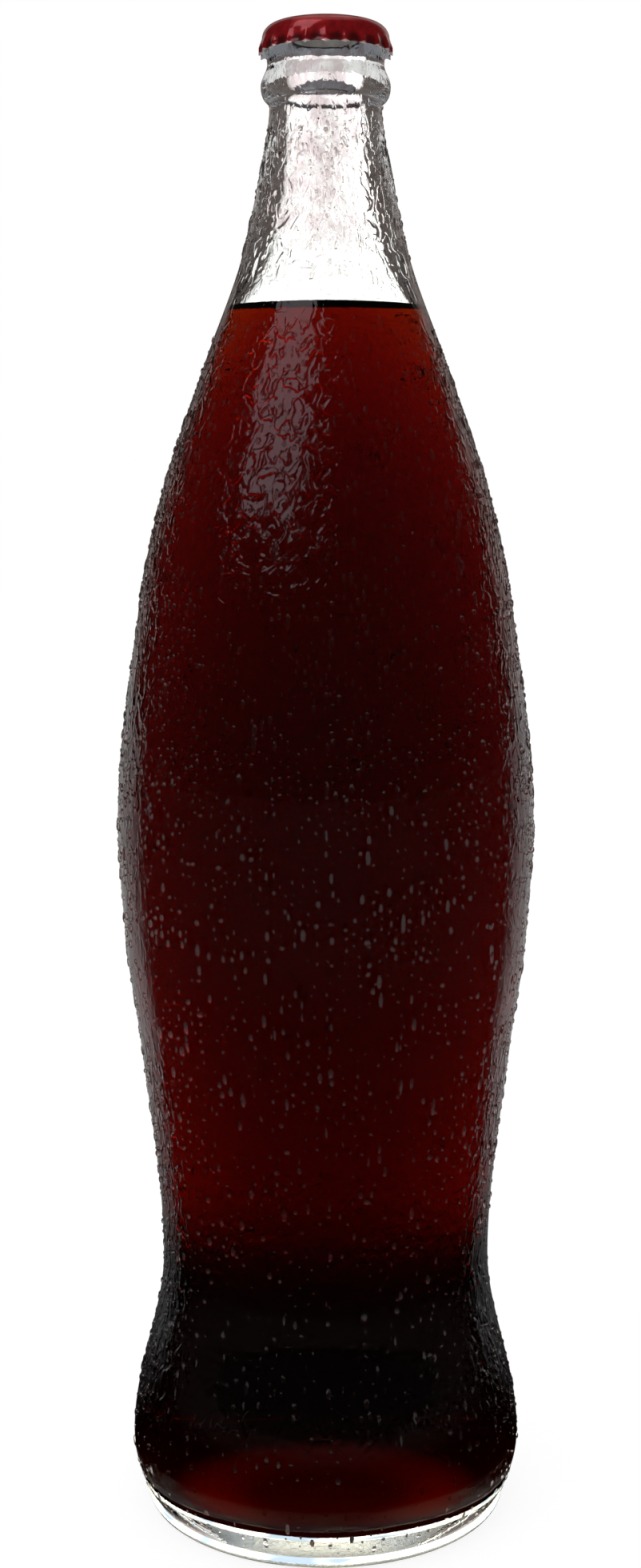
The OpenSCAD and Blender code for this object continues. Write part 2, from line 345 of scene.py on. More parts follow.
def lathe(name, outline, segments, marks=None):
    """Closed surface of revolution. The outline's first and last points lie on the axis, and
    marks holds lists with a number for each of its points, kept as the mesh's attributes."""
    inner = outline[1:-1]
    angles = np.arange(segments) * (2 * math.pi / segments)
    radii = np.array([p[0] for p in inner])[:, None] * MM
    heights = np.array([p[1] for p in inner]) * MM
    rings = np.stack(
        [radii * np.sin(angles), -radii * np.cos(angles), np.repeat(heights[:, None], segments, 1)],
        axis=-1,
    )
    points = rings.reshape(-1, 3).tolist()
    last = len(inner) - 1
    first_pole, last_pole = len(points), len(points) + 1
    points += [(0, 0, outline[0][1] * MM), (0, 0, outline[-1][1] * MM)]
    faces = []
    for i in range(segments):
        k = (i + 1) % segments
        faces.append((first_pole, k, i))
        faces.append((last_pole, last * segments + i, last * segments + k))
        faces += [
            (j * segments + i, j * segments + k, (j + 1) * segments + k, (j + 1) * segments + i)
            for j in range(last)
        ]
    mesh = bpy.data.meshes.new(name)
    mesh.from_pydata(points, [], faces)
    if signed_volume(mesh) < 0:
        mesh.flip_normals()
    mesh.polygons.foreach_set("use_smooth", [True] * len(mesh.polygons))
    for key, values in (marks or {}).items():
        mark = mesh.attributes.new(key, "FLOAT", "POINT")
        spread = np.repeat(np.array(values[1:-1], dtype=float), segments)
        mark.data.foreach_set("value", np.append(spread, [values[0], values[-1]]))
    return new_object(name, mesh)


def signed_volume(mesh):
    """Volume inside a closed mesh, negative where its faces point inwards."""
    mesh.calc_loop_triangles()
    corners = np.empty(len(mesh.vertices) * 3)
    mesh.vertices.foreach_get("co", corners)
    corners = corners.reshape(-1, 3)
    triangles = np.empty(len(mesh.loop_triangles) * 3, dtype=np.int32)
    mesh.loop_triangles.foreach_get("vertices", triangles)
    a, b, c = (corners[triangles[k::3]] for k in range(3))
    return float(np.einsum("ij,ij->i", a, np.cross(b, c)).sum() / 6)


class Nodes:
    """Adds nodes to a tree. An input may be a number, a vector or another node's socket."""

    def __init__(self, tree):
        self.tree = tree

    def add(self, kind, inputs=(), **settings):
        node = self.tree.nodes.new(kind)
        for key, value in settings.items():
            setattr(node, key, value)
        pairs = inputs.items() if isinstance(inputs, dict) else enumerate(inputs)
        for key, value in pairs:
            if isinstance(value, bpy.types.NodeSocket):
                self.tree.links.new(value, node.inputs[key])
            else:
                node.inputs[key].default_value = value
        return node

    def math(self, operation, *values):
        kind = "ShaderNodeMath"
        return self.add(kind, values, operation=operation).outputs[0]

    def vector(self, operation, *values):
        return self.add("ShaderNodeVectorMath", values, operation=operation).outputs[0]

    def scale(self, vector, factor):
        inputs = {"Vector": vector, "Scale": factor}
        return self.add("ShaderNodeVectorMath", inputs, operation="SCALE").outputs[0]

    def ramp(self, value, low, high, start=0.0, end=1.0):
        """Goes smoothly from start, where the value is low, to end, where it is high."""
        inputs = {"Value": value, "From Min": low, "From Max": high, "To Min": start, "To Max": end}
        return self.add("ShaderNodeMapRange", inputs, interpolation_type="SMOOTHSTEP").outputs[0]

    def link(self, output, given):
        self.tree.links.new(output, given)

    def point(self):
        """The coordinates of the point in hand, inside a Geometry Nodes tree."""
        place = self.add("GeometryNodeInputPosition").outputs[0]
        return self.add("ShaderNodeSeparateXYZ", [place]).outputs

    def spot(self):
        """The coordinates of the shaded point on its own piece."""
        place = self.add("ShaderNodeTexCoord").outputs["Object"]
        return self.add("ShaderNodeSeparateXYZ", [place]).outputs

    def around(self, x, y):
        """Angle round the Z axis, counted from the front."""
        return self.math("ARCTAN2", x, self.times(y, -1.0))

    def times(self, first, second):
        return self.math("MULTIPLY", first, second)

    def most(self, first, second):
        return self.math("MAXIMUM", first, second)

    def window(self, value, rise, full, fade, end):
        """1 from full to fade, and 0 below rise and above end."""
        return self.times(self.ramp(value, rise, full), self.ramp(value, fade, end, 1.0, 0.0))

    def panel(self, angle, level, *degrees):
        """The level inside a window of angles."""
        return self.times(self.window(angle, *map(math.radians, degrees)), level)

    def mix(self, share, plain, other):
        """A number on its way from plain to other."""
        inputs = {0: share, 2: plain, 3: other}
        return self.add("ShaderNodeMix", inputs, data_type="FLOAT").outputs[0]

    def blend(self, share, plain, other):
        """A colour on its way from plain to other, each a socket or a tuple of three."""
        plain, other = ((*c, 1.0) if isinstance(c, tuple) else c for c in (plain, other))
        inputs = {0: share, 6: plain, 7: other}
        return self.add("ShaderNodeMix", inputs, data_type="RGBA").outputs[2]

    def named(self, name):
        """A mesh's own attribute, inside a Geometry Nodes tree."""
        node = self.add("GeometryNodeInputNamedAttribute", {"Name": name}, data_type="FLOAT")
        return node.outputs["Attribute"]

    def push_out(self, geometry, distance):
        """Moves the points away from the Z axis."""
        place = self.add("GeometryNodeInputPosition").outputs[0]
        flat = self.vector("MULTIPLY", place, (1.0, 1.0, 0.0))
        offset = self.scale(self.vector("NORMALIZE", flat), distance)
        inputs = {"Geometry": geometry, "Offset": offset}
        return self.add("GeometryNodeSetPosition", inputs).outputs[0]

    def dress(self, geometry, sides, out):
        """Realizes instances, then gives each side of the mesh its material: the first one goes
        everywhere, and each other one where the "side" attribute has reached its number."""
        made = self.add("GeometryNodeRealizeInstances", [geometry]).outputs[0]
        for number, material in enumerate(sides):
            inputs = {"Geometry": made, "Material": material}
            if number:
                inputs["Selection"] = self.math("GREATER_THAN", self.named("side"), number - 0.5)
            made = self.add("GeometryNodeSetMaterial", inputs).outputs[0]
        self.tree.links.new(made, out.inputs[0])


def geometry_tree(name, sockets):
    """A Geometry Nodes tree with a geometry input and output and the named inputs."""
    tree = bpy.data.node_groups.new(name, "GeometryNodeTree")
    tree.interface.new_socket("Geometry", in_out="INPUT", socket_type="NodeSocketGeometry")
    for label, kind in sockets:
        tree.interface.new_socket(label, in_out="INPUT", socket_type=kind)
    tree.interface.new_socket("Geometry", in_out="OUTPUT", socket_type="NodeSocketGeometry")
    nodes = Nodes(tree)
    return nodes, nodes.add("NodeGroupInput").outputs, nodes.add("NodeGroupOutput")


def run_tree(piece, tree, values):
    """Runs a Geometry Nodes tree on a piece and keeps the plain mesh that comes out."""
    modifier = piece.modifiers.new(tree.name, "NODES")
    modifier.node_group = tree
    for item in tree.interface.items_tree:
        if item.item_type == "SOCKET" and item.in_out == "INPUT" and item.name in values:
            modifier[item.identifier] = values[item.name]
    bpy.context.view_layer.update()
    graph = bpy.context.evaluated_depsgraph_get()
    made = bpy.data.meshes.new_from_object(piece.evaluated_get(graph))
    old = piece.data
    piece.modifiers.remove(modifier)
    piece.data = made
    made.name = piece.name
    bpy.data.meshes.remove(old)
    return piece


FLOAT = "NodeSocketFloat"
INT = "NodeSocketInt"
MATERIAL = "NodeSocketMaterial"


def rib_tree():
    """Pushes the skin of the glass outwards into two tiers of round-ended ribs."""
    names = ("Crest", "Squareness", "Heel Start", "Heel End", "Band Low", "Band High",
             "Band End", "Neck Start", "Neck End")
    sides = ("Outside", "Inside", "Wetted", "Under")
    nodes, given, out = geometry_tree(
        "Glass ribs", [("Count", INT)] + [(n, FLOAT) for n in names] + [(n, MATERIAL) for n in sides])
    x, y, z = nodes.point()
    turn = nodes.math("DIVIDE", nodes.around(x, y), 2 * math.pi)
    step = nodes.times(turn, given["Count"])
    across = nodes.times(
        nodes.math("ABSOLUTE", nodes.math("SUBTRACT", step, nodes.math("ROUND", step))), 2.0)

    def end_share(edge_distance, length):
        return nodes.math("SUBTRACT", 1.0, nodes.math("DIVIDE", edge_distance, length))

    def dome(low, low_end, high, high_end):
        ends = nodes.math(
            "MAXIMUM",
            end_share(nodes.math("SUBTRACT", z, low), low_end),
            end_share(nodes.math("SUBTRACT", high, z), high_end))
        share = nodes.most(ends, 0.0)
        rho = nodes.math(
            "SQRT",
            nodes.math("ADD", nodes.times(across, across), nodes.times(share, share)))
        fall = nodes.math("POWER", rho, given["Squareness"])
        return nodes.most(nodes.math("SUBTRACT", 1.0, fall), 0.0)

    lower = dome(given["Heel Start"], given["Heel End"], given["Band Low"], given["Band End"])
    upper = dome(given["Band High"], given["Band End"], given["Neck Start"], given["Neck End"])
    rise = nodes.times(nodes.most(lower, upper), given["Crest"])
    moved = nodes.push_out(given["Geometry"], nodes.times(rise, nodes.named("share")))
    nodes.dress(moved, [given[n] for n in sides], out)
    return nodes.tree


def flute_tree():
    """Pushes a crown's skirt outwards into narrow ridges, and turns the lower edge of the
    hollows between them out into a small lip."""
    sides = ("Outside", "Inside")
    nodes, given, out = geometry_tree(
        "Crown flutes",
        [("Count", INT), ("Ridge", FLOAT), ("Sharpness", FLOAT), ("Lip", FLOAT), ("Scallop", FLOAT)]
        + [(n, MATERIAL) for n in sides])
    x, y, _ = nodes.point()
    angle = nodes.around(x, y)
    wave = nodes.math("SINE", nodes.times(nodes.times(angle, given["Count"]), 0.5))
    hollow = nodes.math("POWER", nodes.math("ABSOLUTE", wave), given["Sharpness"])
    ridge = nodes.math("SUBTRACT", 1.0, hollow)
    rise = nodes.times(nodes.times(ridge, given["Ridge"]), nodes.named("share"))
    edge = nodes.times(nodes.named("lip"), hollow)
    lift = nodes.add(
        "ShaderNodeCombineXYZ", {"Z": nodes.times(edge, given["Scallop"])}).outputs[0]
    moved = nodes.push_out(
        given["Geometry"], nodes.math("ADD", rise, nodes.times(edge, given["Lip"])))
    drawn = nodes.add("GeometryNodeSetPosition", {"Geometry": moved, "Offset": lift}).outputs[0]
    # The lower ends of the ridges: worn lacquer with a painted highlight on it
    wear_and_glint = nodes.times(nodes.named("lip"), ridge)
    # 'shade' marks the hollows of the skirt, where the lacquer gets painted shade
    for name, value in (("shade", nodes.times(hollow, nodes.named("share"))), ("wear_and_glint", wear_and_glint)):
        drawn = nodes.add(
            "GeometryNodeStoreNamedAttribute", {"Geometry": drawn, "Name": name, "Value": value},
            data_type="FLOAT", domain="POINT").outputs[0]
    nodes.dress(drawn, [given[n] for n in sides], out)
    return nodes.tree


def bead_tree():
    """Scatters flattened beads of water over the skin of the glass between two heights."""
    nodes, given, out = geometry_tree(
        "Water beads",
        [("Low", FLOAT), ("High", FLOAT), ("Spacing", FLOAT), ("Density", FLOAT),
         ("Radius", FLOAT), ("Spread", FLOAT), ("Stretch", FLOAT), ("Flatness", FLOAT),
         ("Segments", INT), ("Rings", INT), ("Seed", INT), ("Outside", MATERIAL), ("Sunk", MATERIAL)])
    height = nodes.point()[2]
    above = nodes.math("GREATER_THAN", height, given["Low"])
    below = nodes.math("LESS_THAN", height, given["High"])
    kept = nodes.times(nodes.times(above, below), nodes.named("skin"))
    patches = nodes.add("ShaderNodeTexNoise", {"Scale": 90.0, "Detail": 2.0})
    patchy = nodes.ramp(patches.outputs[0], 0.35, 0.62, 0.3, 1.0)
    spots = nodes.add(
        "GeometryNodeDistributePointsOnFaces",
        {"Mesh": given["Geometry"], "Selection": kept, "Distance Min": given["Spacing"],
         "Density Max": given["Density"], "Density Factor": patchy, "Seed": given["Seed"]},
        distribute_method="POISSON")
    upright = nodes.add(
        "FunctionNodeAlignRotationToVector",
        {"Rotation": spots.outputs["Rotation"], "Vector": (0.0, 0.0, 1.0)}, axis="Y", pivot_axis="Z")
    ball = nodes.add(
        "GeometryNodeMeshUVSphere",
        {"Segments": given["Segments"], "Rings": given["Rings"], "Radius": 1.0})
    sunk = nodes.math("LESS_THAN", nodes.point()[2], 0.0)
    bead = nodes.add(
        "GeometryNodeStoreNamedAttribute",
        {"Geometry": ball.outputs[0], "Name": "side", "Value": sunk},
        data_type="FLOAT", domain="FACE")

    def random(low, high, seed):
        own_seed = nodes.math("ADD", given["Seed"], seed)
        value = nodes.add("FunctionNodeRandomValue", {"Seed": own_seed}, data_type="FLOAT")
        value.inputs[2].default_value = low
        value.inputs[3].default_value = high
        return value.outputs[1]

    chance = nodes.math("POWER", random(0.0, 1.0, 1.0), 3.0)
    size = nodes.times(
        given["Radius"], nodes.math("ADD", 0.55, nodes.times(chance, given["Spread"])))
    longer = nodes.math(
        "ADD", 1.0, nodes.times(nodes.math("POWER", random(0.0, 1.0, 2.0), 2.0), given["Stretch"]))
    shape = nodes.add(
        "ShaderNodeCombineXYZ",
        [nodes.times(size, random(0.8, 1.15, 3.0)), nodes.times(size, longer),
         nodes.times(size, given["Flatness"])])
    beads = nodes.add(
        "GeometryNodeInstanceOnPoints",
        {"Points": spots.outputs["Points"], "Instance": bead.outputs[0],
         "Rotation": upright.outputs[0], "Scale": shape.outputs[0]})
    even = nodes.add("GeometryNodeSetShadeSmooth", {"Geometry": beads.outputs[0]})
    nodes.dress(even.outputs[0], [given["Outside"], given["Sunk"]], out)
    return nodes.tree


# ---------------------------------------------------------------- materials


def new_material(name):
    material = bpy.data.materials.new(name)
    material.use_nodes = True
    nodes = Nodes(material.node_tree)
    shader = material.node_tree.nodes["Principled BSDF"]
    return material, nodes, shader


def object_noise(nodes, scale, detail=2.0, stretch=(1.0, 1.0, 1.0), distortion=0.0):
    """Noise on the piece's own coordinates, in waves per metre."""
    place = nodes.add("ShaderNodeTexCoord").outputs["Object"]
    mapped = nodes.add("ShaderNodeMapping", {"Vector": place, "Scale": stretch})
    noise = nodes.add(
        "ShaderNodeTexNoise",
        {"Vector": mapped.outputs[0], "Scale": scale, "Detail": detail, "Distortion": distortion})
    return noise.outputs[0]


def set_inputs(shader, values):
    for name, value in values.items():
        shader.inputs[name].default_value = value


def bump(nodes, shader, height, strength, distance):
    lift = nodes.add(
        "ShaderNodeBump", {"Height": height, "Strength": strength, "Distance": distance})
    nodes.link(lift.outputs[0], shader.inputs["Normal"])


def clear_material(name, colour, ior):
    """A clear material that light goes through."""
    material, nodes, shader = new_material(name)
    set_inputs(shader, {"Base Color": (*colour, 1.0), "Roughness": 0.0, "IOR": ior})
    set_inputs(shader, {"Transmission Weight": 1.0})
    return material, nodes, shader


GLASS_IOR = 1.5
DRINK_IOR = 1.34
# The wet hollow under the base hardly bends light
STIPPLE_IOR = 1.06
MIST_TINT = (0.66, 0.57, 0.58)
# Lighter colour of the ridges' lower ends: wear with a painted glint
WEAR_AND_GLINT_TINT = (0.8, 0.66, 0.66)
# Painted glow on the bare tin inside the crown, standing in for the light that the glass leads into
# it: its colour and strength
CROWN_GLOW = (0.7, 0.72, 0.8, 1.0)
CROWN_GLOW_STRENGTH = 0.22


# Where the film of water is thick. Heights are in metres, angles in radians from the front,
# and the last two numbers of a rise or a fall are what it starts and ends at.
FILM_RISE = (0.1, 0.23, 0.15, 1.0)
FILM_FALL = (0.25, 0.297, 1.0, 0.2)
FILM_LEVEL = (0.244, 0.249, 0.254, 0.26)
FILM_AT_LEVEL = 0.2
FILM_HEEL = (0.012, 0.03, 0.085, 0.11)
FILM_FRONT = (-0.75, -0.5, -0.05, 0.15)
FILM_FRONT_FROM = (0.186, 0.206)
FILM_SIDES = (0.88, 1.1, 1.75, 1.95)
FILM_NECK = (0.258, 0.268)
FILM_THIN, FILM_THICK = 0.25, 1.2
RUN_SHARE = 0.55


def wet_glass(tint, film_depth):
    """The outside of the glass, with an uneven film of water on it: small worm-like swellings
    between the beads, and longer waves where the film runs down."""
    material, nodes, shader = clear_material("wet_glass", tint, GLASS_IOR)
    uneven = object_noise(nodes, 430.0, 1.0, (1.0, 1.0, 0.65), 0.9)
    swellings = nodes.math("ADD", nodes.ramp(uneven, 0.47, 0.63), uneven)
    runs = object_noise(nodes, 110.0, 2.0, (1.0, 1.0, 0.25))
    x, y, height = nodes.spot()
    wetter = nodes.times(nodes.ramp(height, *FILM_RISE), nodes.ramp(height, *FILM_FALL))
    level = nodes.window(height, *FILM_LEVEL)
    wetter = nodes.times(wetter, nodes.mix(level, 1.0, FILM_AT_LEVEL))
    wetter = nodes.most(wetter, nodes.window(height, *FILM_HEEL))
    around = nodes.around(x, y)
    front = nodes.times(nodes.window(around, *FILM_FRONT), nodes.ramp(height, *FILM_FRONT_FROM))
    sides = nodes.window(nodes.math("ABSOLUTE", around), *FILM_SIDES)
    neck = nodes.ramp(height, *FILM_NECK)
    thick = nodes.mix(nodes.most(neck, nodes.most(front, sides)), FILM_THIN, FILM_THICK)
    swellings = nodes.times(swellings, nodes.times(wetter, thick))
    relief = nodes.math("ADD", swellings, nodes.times(runs, RUN_SHARE))
    bump(nodes, shader, relief, 1.0, film_depth)
    return material


def dry_glass(tint):
    """The inside of the glass above the drink, misted in patches up in the neck."""
    material, nodes, shader = clear_material("dry_glass", tint, GLASS_IOR)
    patches = nodes.ramp(object_noise(nodes, 260.0, 3.0, (1.0, 1.0, 0.8), 0.6), 0.40, 0.56)
    mist = nodes.times(patches, nodes.ramp(nodes.spot()[2], 0.2655, 0.2685))
    colour = nodes.blend(mist, tuple(tint), MIST_TINT)
    nodes.link(colour, shader.inputs["Base Color"])
    bump(nodes, shader, object_noise(nodes, 45.0, 1.0, (1.0, 1.0, 0.4)), 0.5, 0.12 * MM)
    return material


def stippled_glass(tint):
    """The rough hollow under the base, which is wet."""
    material, nodes, shader = clear_material("stippled_glass", tint, STIPPLE_IOR)
    shader.inputs["Roughness"].default_value = 0.3
    bump(nodes, shader, object_noise(nodes, 900.0, 1.0), 0.6, 0.3 * MM)
    return material


def wetted_glass(tint):
    """The inside of the glass where the drink touches it, which hardly bends light or shines."""
    material, nodes, shader = clear_material("wetted_glass", tint, GLASS_IOR / DRINK_IOR)
    bump(nodes, shader, object_noise(nodes, 30.0, 1.0, (1.0, 1.0, 0.3)), 0.5, 0.1 * MM)
    return material


def cola_liquid(colour, strength):
    """The drink: clear, and darker the further light goes through it. Only its open top bends
    light, since elsewhere the wetted glass does that."""
    material, nodes, shader = clear_material("cola", (1.0, 1.0, 1.0), DRINK_IOR)
    volume = nodes.add("ShaderNodeVolumeAbsorption", {"Color": (*colour, 1.0), "Density": strength})
    touching = nodes.add("ShaderNodeBsdfTransparent", {"Color": (1.0, 1.0, 1.0, 1.0)})
    opened = nodes.add("ShaderNodeAttribute", attribute_name="open").outputs[2]
    open_top = nodes.math("GREATER_THAN", opened, 0.5)
    surface = nodes.add(
        "ShaderNodeMixShader", {0: open_top, 1: touching.outputs[0], 2: shader.outputs[0]})
    output = nodes.tree.nodes["Material Output"]
    nodes.link(surface.outputs[0], output.inputs["Surface"])
    nodes.link(volume.outputs[0], output.inputs["Volume"])
    return material


def sunk_water():
    """The half of a bead that is sunk in the glass, where light goes straight on."""
    material, nodes, _ = new_material("sunk_water")
    clear = nodes.add("ShaderNodeBsdfTransparent", {"Color": (1.0, 1.0, 1.0, 1.0)})
    nodes.link(clear.outputs[0], nodes.tree.nodes["Material Output"].inputs["Surface"])
    return material


def mottled(nodes, shader, colour, scale, low, high):
    """Gives the shader a colour that varies a little in brightness from low to high."""
    shade = nodes.add(
        "ShaderNodeMapRange",
        {"Value": object_noise(nodes, scale, 3.0), "From Min": 0.3, "From Max": 0.7,
         "To Min": low, "To Max": high})
    tone = nodes.scale(tuple(colour), shade.outputs[0])
    nodes.link(tone, shader.inputs["Base Color"])


def lacquered_tin(colour):
    """Red lacquer on tinplate, darker in the skirt's hollows as painted shade, with a painted glint on
    the worn lower ends of the ridges.
    """
    material, nodes, shader = new_material("crown_lacquer")
    shade = nodes.add("ShaderNodeAttribute", attribute_name="shade").outputs[2]
    wear_and_glint = nodes.add("ShaderNodeAttribute", attribute_name="wear_and_glint").outputs[2]
    # Random mottling, times painted shade that darkens the lacquer in the hollows
    tone = nodes.times(
        nodes.ramp(object_noise(nodes, 700.0, 3.0), 0.3, 0.7, 0.75, 1.15),
        nodes.ramp(shade, 0.35, 0.95, 1.0, 0.3))
    coat = nodes.scale(tuple(colour), tone)
    # Lighter at the ridges' lower ends: worn edge with a painted glint
    bare = nodes.blend(nodes.ramp(wear_and_glint, 0.15, 0.35), coat, WEAR_AND_GLINT_TINT)
    nodes.link(bare, shader.inputs["Base Color"])
    set_inputs(shader, {"Metallic": 0.6, "Roughness": 0.3})
    set_inputs(shader, {"Coat Weight": 1.0, "Coat Roughness": 0.08})
    bump(nodes, shader, object_noise(nodes, 1300.0, 2.0), 0.15, 0.05 * MM)
    return material


def bare_tin(colour):
    """The bare tinplate inside the crown, with a painted glow that stands in for the light that the
    glass leads in.
    """
    material, nodes, shader = new_material("bare_tin")
    # Painted light: the tin glows evenly
    set_inputs(shader, {"Emission Color": CROWN_GLOW, "Emission Strength": CROWN_GLOW_STRENGTH})
    mottled(nodes, shader, colour, 900.0, 0.8, 1.1)
    set_inputs(shader, {"Metallic": 0.25, "Roughness": 0.4})
    bump(nodes, shader, object_noise(nodes, 1600.0, 2.0), 0.2, 0.05 * MM)
    return material


def liner_plastic(colour):
    """The soft plastic of the sealing liner."""
    material, nodes, shader = new_material("liner_plastic")
    mottled(nodes, shader, colour, 600.0, 0.92, 1.05)
    shader.inputs["Roughness"].default_value = 0.55
    bump(nodes, shader, object_noise(nodes, 600.0, 3.0), 0.1, 0.1 * MM)
    return material


# ---------------------------------------------------------------- operators

GLASS_SEGMENTS = 24 * 8
CROWN_SEGMENTS = 16 * 21
# The drink's edge against the glass, in millimetres: how high it climbs, how quickly it falls
# away and how far in it is level, and how far the drink's mesh reaches into the glass
MENISCUS_H = 1.8
MENISCUS_REACH = 1.7
MENISCUS_W = 7
# The drink lies level a little below the flat top of its solid, since its edge climbs above that
LEVEL_DROP = 1.2
LEVEL_Z = FILL_Z - LEVEL_DROP
EDGE_Z = LEVEL_Z + MENISCUS_H
DRINK_SWELL = 0.06
# Height of the crown's turned-out lip, in millimetres
LIP_H = 1.5


class BOTTLE_OT_glass(bpy.types.Operator):
    """Makes the ribbed glass bottle"""

    bl_idname = "bottle.glass"
    bl_label = "Glass bottle"

    def execute(self, context):
        s = context.scene.bottle_glass
        wall = s.wall / MM
        under = underside()
        skin = [(glass_radius(z), z) for z in body_rows()]
        finish = finish_outline()
        inside = inner_outline(wall, RIM_Z)[::-1]
        outline = under + skin + finish + inside
        outer = len(under) + len(skin) + len(finish)
        marks = {
            "share": [0] * len(under) + [1] * len(skin) + [0] * (len(finish) + len(inside)),
            "skin": [0] * len(under) + [1] * (len(skin) + len(finish)) + [0] * len(inside),
            "side": [UNDER] * len(under)
            + [OUTSIDE] * (outer - len(under))
            + [WETTED if z < EDGE_Z else INSIDE for _, z in inside],
        }
        piece = lathe("glass", outline, GLASS_SEGMENTS, marks)
        values = {
            "Count": s.rib_count, "Crest": s.rib_height, "Squareness": s.rib_power,
            "Heel Start": HEEL_END[0] * MM, "Heel End": HEEL_END[1] * MM,
            "Band Low": BAND_LOW[0] * MM, "Band High": BAND_HIGH[0] * MM, "Band End": BAND_END * MM,
            "Neck Start": NECK_ROOT[0] * MM, "Neck End": NECK_END * MM,
            "Outside": wet_glass(s.glass_tint, context.scene.bottle_wet.film_depth),
            "Inside": dry_glass(s.glass_tint), "Wetted": wetted_glass(s.glass_tint),
            "Under": stippled_glass(s.glass_tint),
        }
        run_tree(piece, rib_tree(), values)
        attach(piece, BOTTLE_BODY)
        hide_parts("bottle")
        return {"FINISHED"}


class BOTTLE_OT_drink(bpy.types.Operator):
    """Makes the drink, which wets the glass all over and climbs a little at its edge"""

    bl_idname = "bottle.drink"
    bl_label = "Drink"

    def execute(self, context):
        s = context.scene.bottle_glass
        outline = inner_outline(s.wall / MM, EDGE_Z, DRINK_SWELL)
        touching = len(outline)
        edge_r = outline[-1][0]
        for i in range(1, 15):
            away = MENISCUS_W * (i / 14) ** 1.6
            outline.append((edge_r - away, LEVEL_Z + MENISCUS_H * math.exp(-away / MENISCUS_REACH)))
        level_r = edge_r - MENISCUS_W
        outline += [(level_r * (1 - i / 6), LEVEL_Z) for i in range(1, 7)]
        marks = {"open": [0] * touching + [1] * (len(outline) - touching)}
        piece = lathe("cola_fill", outline, GLASS_SEGMENTS, marks)
        piece.data.materials.append(cola_liquid(s.drink_colour, s.drink_strength))
        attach(piece, BOTTLE_BODY)
        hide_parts("cola")
        return {"FINISHED"}


class BOTTLE_OT_crown(bpy.types.Operator):
    """Makes the fluted crown cap"""

    bl_idname = "bottle.crown"
    bl_label = "Crown cap"

    def execute(self, context):
        s = context.scene.bottle_crown
        hollow_in = LOCK_RING[1] + RING_GAP
        hollow_out = hollow_in + SHEET_T
        middle = hollow_out - CROWN_SHOULDER_R
        shoulder_z = CROWN_TOP_Z - CROWN_SHOULDER_R
        inside, outside = [], []
        for i in range(9):
            inside.append((middle * i / 9, CROWN_TOP_Z - SHEET_T, 0, 0))
            outside.append((middle * i / 9, CROWN_TOP_Z, 0, 0))
        for i in range(13):
            a = math.radians(90 - 90 * i / 12)
            for side, radius in ((inside, CROWN_SHOULDER_R - SHEET_T), (outside, CROWN_SHOULDER_R)):
                side.append((middle + radius * math.cos(a), shoulder_z + radius * math.sin(a), 0, 0))
        for i in range(1, 19):
            t = i / 18
            z = shoulder_z + (CROWN_BOTTOM_Z - shoulder_z) * t
            lip = max(0.0, 1 - (z - CROWN_BOTTOM_Z) / LIP_H) ** 2
            inside.append((hollow_in, z, t, lip))
            outside.append((hollow_out, z, min(1.0, 1.8 * t), lip))
        profile = inside + outside[::-1]
        marks = {
            "share": [p[2] for p in profile],
            "lip": [p[3] for p in profile],
            "side": [INSIDE] * len(inside) + [OUTSIDE] * len(outside),
        }
        piece = lathe("crown", [p[:2] for p in profile], CROWN_SEGMENTS, marks)
        values = {
            "Count": s.flute_count, "Ridge": s.ridge_height, "Sharpness": s.ridge_sharpness,
            "Lip": s.lip, "Scallop": s.scallop,
            "Outside": lacquered_tin(s.lacquer), "Inside": bare_tin(s.tin),
        }
        run_tree(piece, flute_tree(), values)
        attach(piece, CAP_BODY)
        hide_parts("crown_shell")
        return {"FINISHED"}


class BOTTLE_OT_liner(bpy.types.Operator):
    """Gives the sealing liner its finish"""

    bl_idname = "bottle.liner"
    bl_label = "Crown liner"

    def execute(self, context):
        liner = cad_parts["crown_liner"]
        finish = liner_plastic(context.scene.bottle_crown.liner_colour)
        for slot in liner.material_slots:
            slot.material = finish
        return {"FINISHED"}


# Where the glass is wet, by parts: a name, the heights between which the drops lie and their
# least spacing in millimetres, and how much longer than wide they grow. The drops are tinted
# grey as painted shade, those on the neck darker than those on the body.
BODY_BEADS = (
    ("beads_heel", 4, 60, 2.2, 1.8),
    ("beads_skirt", 60, 119, 1.9, 2.2),
    ("beads_band_low", 119, 152, 1.6, 2.0),
    ("beads_band_high", 152, 186, 1.4, 2.0),
    ("beads_shoulder", 186, 247, 1.4, 2.2),
)
NECK_BEADS = (
    ("beads_neck", 262, 296, 1.6, 2.4),
)
RUN_ZONES = (
    ("runs_body", 20, 242, 8.0, 4.0),
    ("runs_neck", 257, 294, 2.6, 4.5),
)
BEAD_MESH = (6, 4)
RUN_MESH = (10, 6)
# More beads per square metre than the spacing leaves room for
BEAD_CROWD = 900000.0
BEAD_FLATNESS, RUN_FLATNESS = 0.6, 0.45
# Name, tint and index of refraction of the drops, which bend light less than water does; the
# grey tint is painted shade, as water has none
SHADED_NECK_DROPS = ("shaded_neck_beads", (0.62, 0.56, 0.53), 1.2)
SHADED_BODY_DROPS = ("shaded_body_beads", (0.78, 0.72, 0.7), 1.16)
SHADED_RUN_DROPS = ("shaded_water_runs", (0.85, 0.82, 0.8), 1.25)


